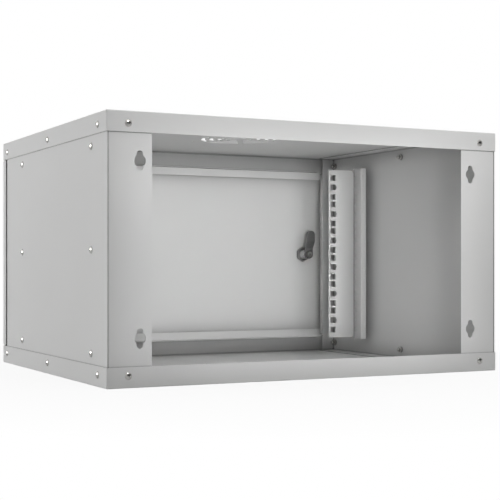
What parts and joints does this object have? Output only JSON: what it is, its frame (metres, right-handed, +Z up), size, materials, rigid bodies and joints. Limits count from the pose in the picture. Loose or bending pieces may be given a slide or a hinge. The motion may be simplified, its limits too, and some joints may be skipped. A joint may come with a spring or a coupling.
{
  "type": "wall mount network cabinet",
  "caption": "Sheet steel wall cabinet for 19 inch network equipment, open at the wall side, with a hinged solid front door and a cam lock.",
  "frame": {"origin": "bottom centre of the cabinet: middle of its width and depth, on the underside of the bottom cover", "axes": "+X along the width toward the door's hinges, +Y from the door to the wall side, +Z up"},
  "size_m": [0.605, 0.455, 0.342],
  "materials": {
    "powder_coat": "light grey powder coat, satin, fine orange peel",
    "zinc_plate": "bright zinc plate",
    "chrome": "chromed die casting",
    "cam_steel": "pressed steel, dull",
    "nylon": "natural nylon"
  },
  "bodies": {
    "carcass": {"top_cover": "powder_coat", "bottom_cover": "powder_coat", "top_entry_plate": "powder_coat", "bottom_entry_plate": "powder_coat", "left_side_panel": "powder_coat", "right_side_panel": "powder_coat", "left_rear_post": "powder_coat", "right_rear_post": "powder_coat", "left_rail_support": "powder_coat", "right_rail_support": "powder_coat", "left_rail": "powder_coat", "right_rail": "powder_coat", "hinge_bracket_top": "powder_coat", "hinge_bracket_bottom": "powder_coat", "top_entry_studs": "zinc_plate", "bottom_entry_studs": "zinc_plate", "top_entry_nuts": "zinc_plate", "bottom_entry_nuts": "zinc_plate", "left_cover_bolts": "zinc_plate", "right_cover_bolts": "zinc_plate", "left_cover_nuts": "zinc_plate", "right_cover_nuts": "zinc_plate", "left_panel_bolts": "zinc_plate", "right_panel_bolts": "zinc_plate", "left_panel_nuts": "zinc_plate", "right_panel_nuts": "zinc_plate", "left_rail_screws": "zinc_plate", "right_rail_screws": "zinc_plate", "left_rail_nuts": "zinc_plate", "right_rail_nuts": "zinc_plate", "wall_side_screws": "zinc_plate", "wall_side_nuts": "zinc_plate", "hinge_pin_top": "zinc_plate", "hinge_pin_bottom": "zinc_plate"},
    "door": {"door_panel": "powder_coat", "hinge_bush_top": "nylon", "hinge_bush_bottom": "nylon", "lock_housing": "chrome", "lock_nut": "zinc_plate"},
    "lock_cam_set": {"lock_cylinder": "chrome", "lock_cam": "cam_steel", "cam_washer": "zinc_plate", "cam_screw": "zinc_plate"}
  },
  "joints": [
    {"name": "door_hinge", "type": "hinge", "parent": "carcass", "child": "door", "pos_m": [0.295, -0.22, 0.171], "axis": [0, 0, 1], "range_deg": [0, 180]},
    {"name": "lock_turn", "type": "hinge", "parent": "door", "child": "lock_cam_set", "pos_m": [-0.243, -0.204, 0.171], "axis": [0, -1, 0], "range_deg": [0, 90]}
  ]
}
